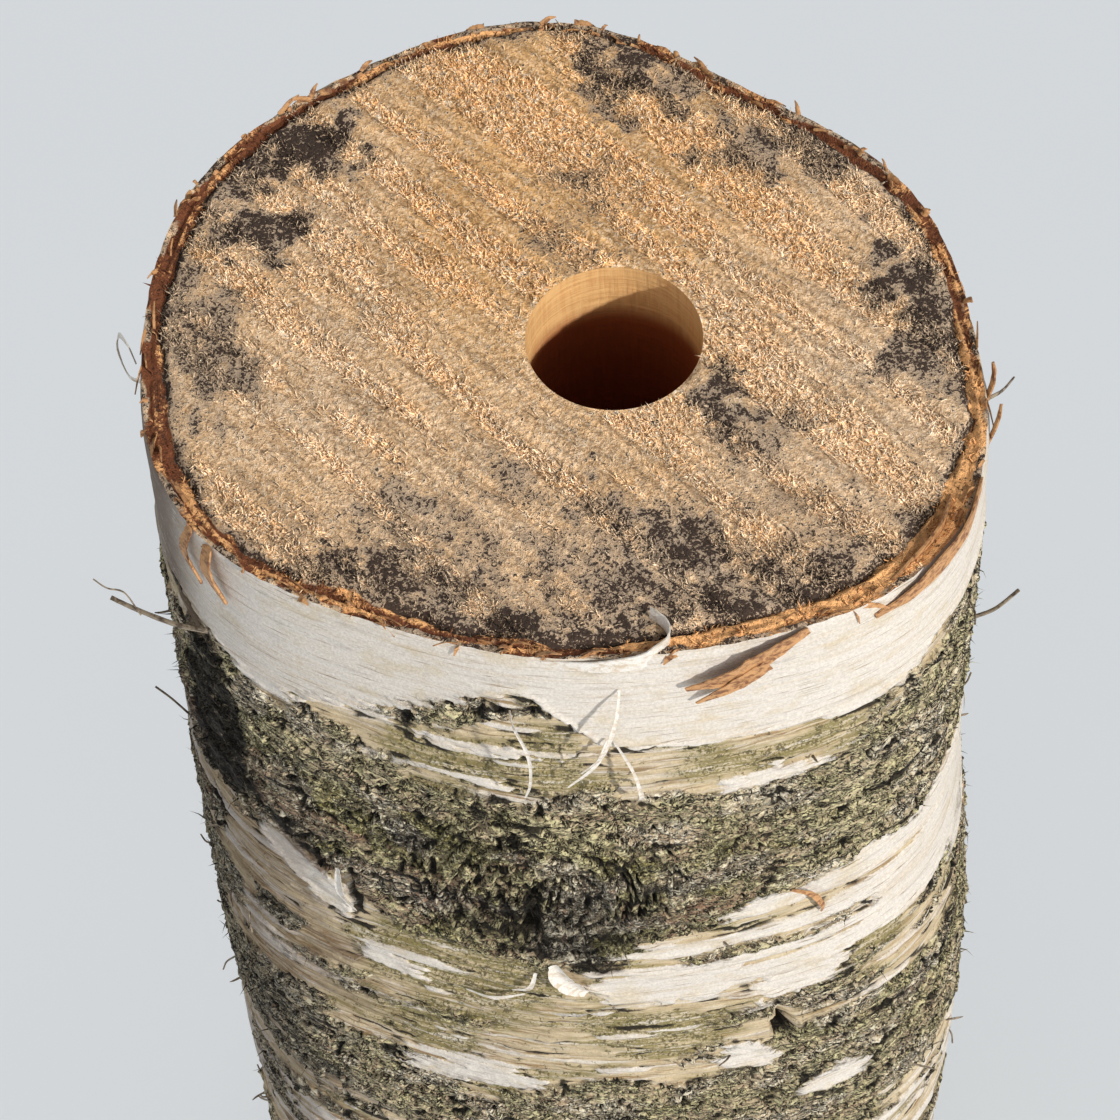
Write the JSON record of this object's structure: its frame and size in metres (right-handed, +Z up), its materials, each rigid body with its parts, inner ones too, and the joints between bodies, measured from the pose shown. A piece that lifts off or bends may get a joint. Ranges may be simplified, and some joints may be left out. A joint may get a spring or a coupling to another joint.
{
  "type": "drilled birch log",
  "caption": "Short upright birch log with sawn ends, peeling white bark and a blind round hole drilled in the top, for a candle or a peg.",
  "frame": {"origin": "centre of the log's plan box, on the flat sawn bottom that it stands on", "axes": "+Z up along the log; -Y is the front, the side with the large branch scar; +X is to the right seen from the front"},
  "size_m": [0.1062, 0.1012, 0.25],
  "materials": {
    "bark": "papery white birch bark with dark fissured mossy patches, matt",
    "end_grain": "rough sawn, fuzzy and weathered end grain, matt",
    "hole_wall": "fresh drilled wood, warm orange brown, matt"
  },
  "bodies": {
    "root": {"birch_log": "bark"}
  },
  "joints": []
}
